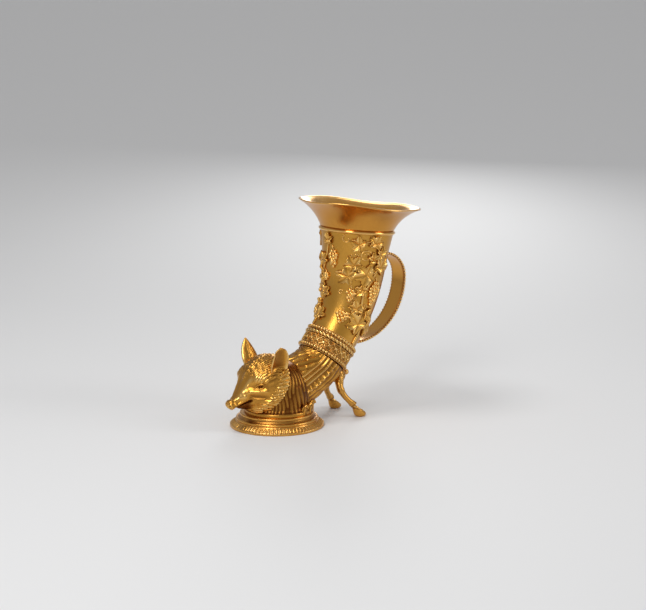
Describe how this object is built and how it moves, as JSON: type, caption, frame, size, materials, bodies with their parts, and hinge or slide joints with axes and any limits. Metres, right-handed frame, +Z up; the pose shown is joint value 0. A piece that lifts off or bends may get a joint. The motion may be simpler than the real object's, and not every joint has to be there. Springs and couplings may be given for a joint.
{
  "type": "rhyton drinking cup",
  "caption": "Curved drinking horn rising from a boar's head on a round foot, with flared lip, strap handle, vine relief and rear prop legs.",
  "frame": {"origin": "centre of the round foot's underside, on the surface it stands on", "axes": "+Z up, snout towards -X, handle towards +X, the animal's left side towards -Y"},
  "size_m": [0.2221, 0.1234, 0.2211],
  "materials": {
    "gilt_satin": "satin",
    "gilt_polished": "polished",
    "gilt_relief": "burnished",
    "gilt_trim": "burnished",
    "gilt_chased": "chased",
    "gilt_foot": "satin",
    "bare_brass": "matte"
  },
  "bodies": {
    "root": {"horn_cup": "gilt_satin", "flared_lip": "gilt_polished", "lip_fillet": "gilt_polished", "handle_strap": "gilt_polished", "front_vine": "gilt_relief", "left_vine": "gilt_relief", "right_vine": "gilt_relief", "front_grapes": "gilt_relief", "left_grapes": "gilt_relief", "right_grapes": "gilt_relief", "collar_lower_beads": "gilt_trim", "collar_band": "gilt_trim", "collar_rope": "gilt_trim", "collar_upper_beads": "gilt_trim", "handle_left_beads": "gilt_trim", "handle_right_beads": "gilt_trim", "neck": "gilt_chased", "head": "gilt_chased", "left_ear": "gilt_chased", "right_ear": "gilt_chased", "foot_ring": "gilt_foot", "leg_saddle": "gilt_foot", "left_leg": "gilt_foot", "right_leg": "gilt_foot", "left_hoof": "gilt_foot", "right_hoof": "gilt_foot", "ball_screw": "gilt_foot", "foot_plate": "bare_brass", "tie_screw": "bare_brass", "head_screw": "bare_brass", "cup_floor": "bare_brass", "handle_screws": "bare_brass"}
  },
  "joints": []
}
